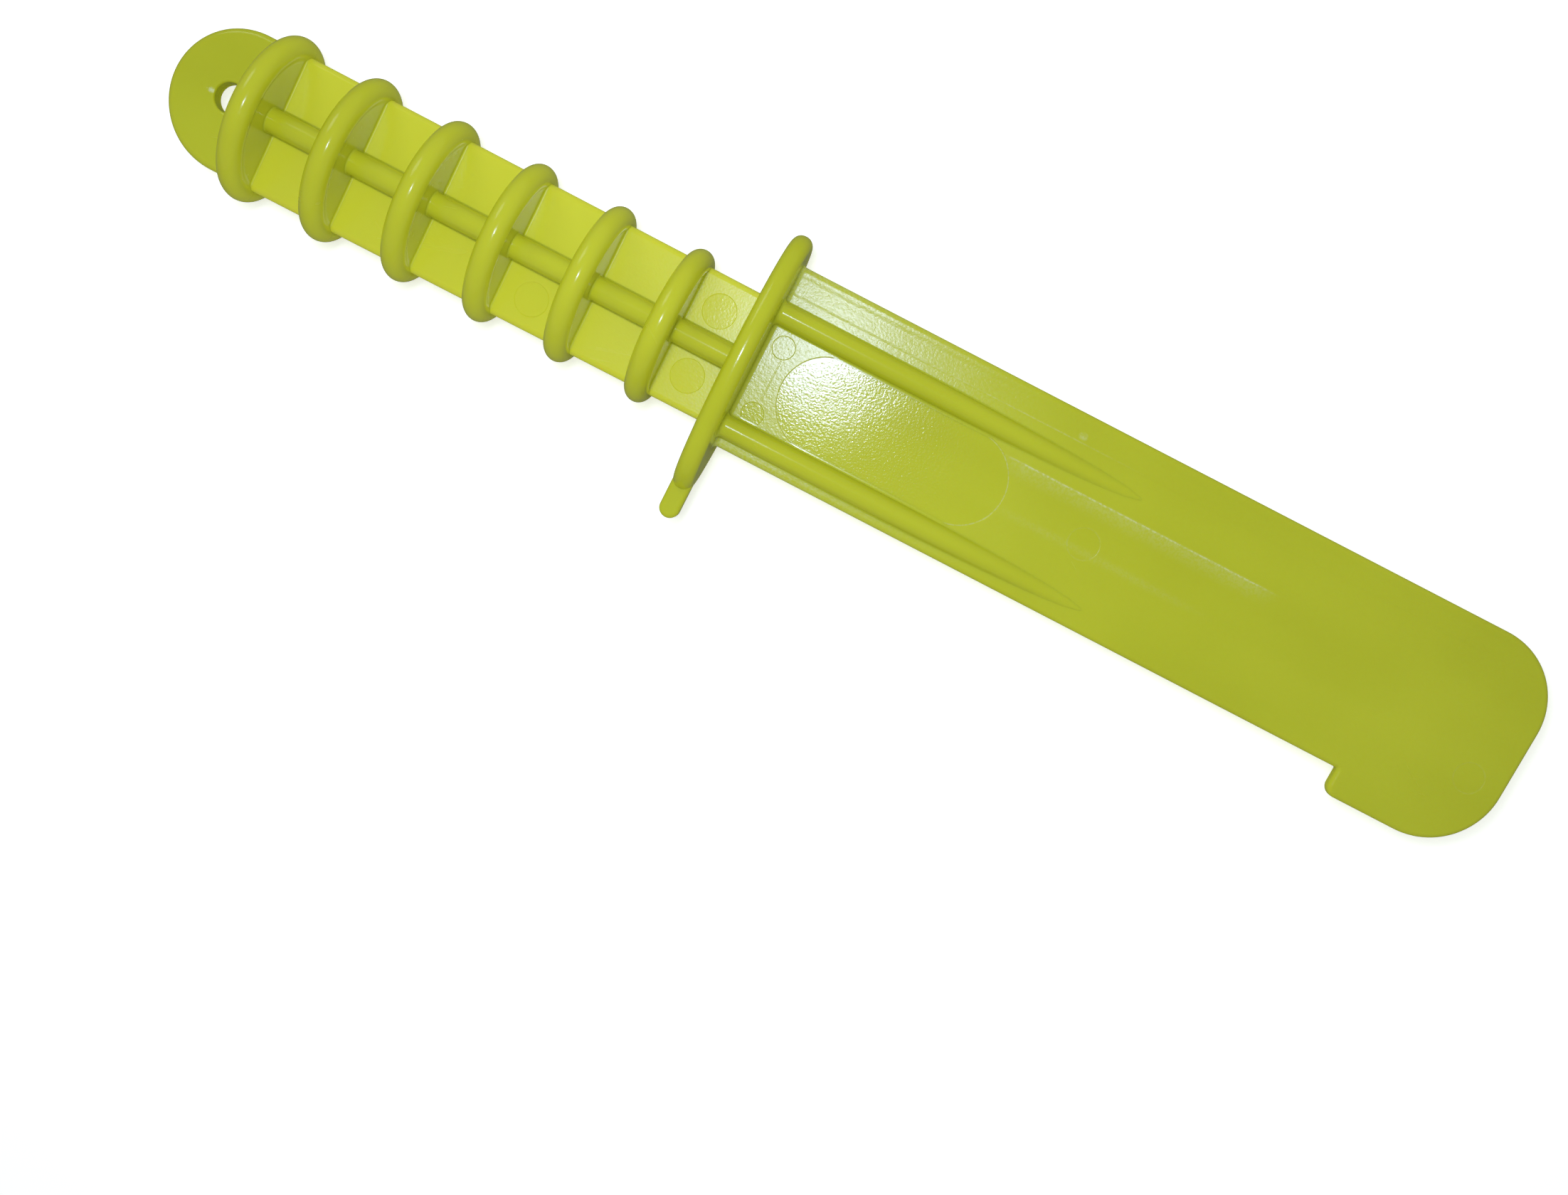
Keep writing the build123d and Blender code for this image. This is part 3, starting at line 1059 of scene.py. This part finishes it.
def rib_solid(centre_y, side, end_x, height):
    """A rib that flares onto the guard and sinks into the blade."""
    bm = bmesh.new()
    start = guard_high.x + GUARD_FILLET
    previous = bar_section(bm, start, centre_y, BLADE_Z, RIB_HALF, height)
    root_loop = previous
    for station in range(1, RIB_STATIONS + 1):
        share = station / RIB_STATIONS
        x = start + (end_x - start) * share
        here = height * (1 - share) + RIB_LAST_HEIGHT
        loop = bar_section(bm, x, centre_y, BLADE_Z, RIB_HALF, here)
        bmesh.ops.bridge_loops(bm, edges=previous + loop)
        previous = loop
    close_loop(bm, root_loop)
    close_loop(bm, previous)
    settle(bm, side)
    cap = end_face(bm, (-1, 0, 0))
    curve_face(bm, cap, GUARD_FILLET, 1)
    push_face(bm, cap, SKIN_GAP)
    print("rib edges that aren't closed:", sum(not edge.is_manifold for edge in bm.edges))
    return bm


for face, side in (("front", 1), ("back", -1)):
    for edge in ("plain", "hook"):
        node = f"blade_rib_{face}_{edge}"
        low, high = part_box(node)
        height = max(abs(low.z), abs(high.z)) - BLADE_Z
        solid = rib_solid((low.y + high.y) / 2, side, high.x + RIB_OVERRUN, height)
        dress(make_piece(f"stiffening_rib_{face}_{edge}", solid), [node], PLASTIC)

# %% [markdown]
# ## The studio
#
# The camera looks down on the tool from a little more than a quarter of a metre, so near things look
# clearly larger: the beads of the rings lean outwards from the middle of the picture.

# %% Camera
LENS = 35.73
CAMERA_PLACE = (127.08 * MM, 0.55 * MM, 277.90 * MM)
CAMERA_TURN = (-6.252, 3.172, 27.247)
camera_data = bpy.data.cameras.new("camera")
camera_data.sensor_fit = "HORIZONTAL"
camera_data.sensor_width = 36.0
camera_data.lens = LENS
camera_data.clip_start = 0.01
camera = bpy.data.objects.new("camera", camera_data)
camera.location = CAMERA_PLACE
camera.rotation_euler = Euler([math.radians(a) for a in CAMERA_TURN], "XYZ")
bpy.context.scene.collection.objects.link(camera)
bpy.context.scene.camera = camera
print("camera height over the handle's axis, mm:", round(camera.location.z / MM, 1))

# %% [markdown]
# A small bluish lamp right beside the lens makes the glitter on the blade and the long highlights on
# the beads. The fill lamp above it lights the bays between the rings, where soft light hardly reaches.
# It is hidden from reflections, because a second glare beside the first would look wrong. A window from
# the side and an evenly bright room do the rest.

# %% Lights and world
def add_lamp(name, place, target, width, power, colour=(0.93, 1.0, 0.94)):
    """A round area lamp that looks at a target."""
    data = bpy.data.lights.new(name, "AREA")
    data.shape = "DISK"
    data.size = width
    data.energy = power
    data.color = colour
    lamp = bpy.data.objects.new(name, data)
    lamp.location = place
    lamp.rotation_euler = (Vector(target) - Vector(place)).to_track_quat("-Z", "Y").to_euler()
    bpy.context.scene.collection.objects.link(lamp)
    return lamp


MIDDLE_X = 0.12
middle = (MIDDLE_X, 0.0, 0.0)
add_lamp("lens_lamp", (0.099, 0.0185, 0.277), middle, 0.030, 0.17, (0.62, 0.70, 1.0))
add_lamp("window", (-0.45, 0.40, 0.55), middle, 0.35, 0.6)
fill = add_lamp("fill", (0.10, 0.005, 0.32), middle, 0.08, 0.40)
fill.visible_glossy = False

world = bpy.data.worlds.new("studio")
world.use_nodes = True
room = world.node_tree.nodes["Background"]
room.inputs["Color"].default_value = (0.95, 1.0, 0.94, 1)
room.inputs["Strength"].default_value = 0.33
bpy.context.scene.world = world
bpy.context.scene.view_settings.view_transform = "Standard"

# %% [markdown]
# ## Paper, bounce and table
#
# White paper throws soft light up into the rings, which the tool needs. It would also mirror itself in
# every edge, and the edges would melt into the paper. A studio avoids that with black cards beside
# the object. Here three sheets lie in the same place: the paper that only the camera sees, a
# bounce sheet that only lights the tool, and a dim table that only reflections see.

# %% Floor sheets
BACKFACING = 6
SHEET_HALF = 2.5


def plain_finish(name, grey, glow):
    """A matt finish that may also glow a little, and that is clear when seen from below."""
    shop = Workshop(name)
    underside = shop.node("ShaderNodeNewGeometry", {}, {}, output=BACKFACING)
    paper = {"Base Color": (grey, grey, grey, 1), "Roughness": 0.9, "Alpha": 1 - underside}
    paper["Emission Color"] = (1, 1, 1, 1)
    paper["Emission Strength"] = glow
    shader = shop.node("ShaderNodeBsdfPrincipled", {}, paper)
    shop.node("ShaderNodeOutputMaterial", {}, {"Surface": shader})
    return shop.material


def floor_sheet(name, z, material, seen_by):
    """A large sheet that is seen by one kind of ray: camera, diffuse or glossy."""
    bm = bmesh.new()
    place = Matrix.Translation((MIDDLE_X, 0, z))
    bmesh.ops.create_grid(bm, x_segments=1, y_segments=1, size=SHEET_HALF, matrix=place)
    sheet = make_piece(name, bm)
    sheet.data.materials.append(material)
    sheet.visible_camera = seen_by == "camera"
    sheet.visible_diffuse = seen_by == "diffuse"
    sheet.visible_glossy = seen_by == "glossy"
    sheet.visible_transmission = False


floor_z = cad_bounds[0].z
floor_sheet("paper_floor", floor_z, plain_finish("paper", 0.9, 0.5), "camera")
floor_sheet("bounce_sheet", floor_z - MM, plain_finish("bounce", 0.8, 0.35), "diffuse")
floor_sheet("dim_table", floor_z - 2 * MM, plain_finish("table", 0.16, 0.0), "glossy")
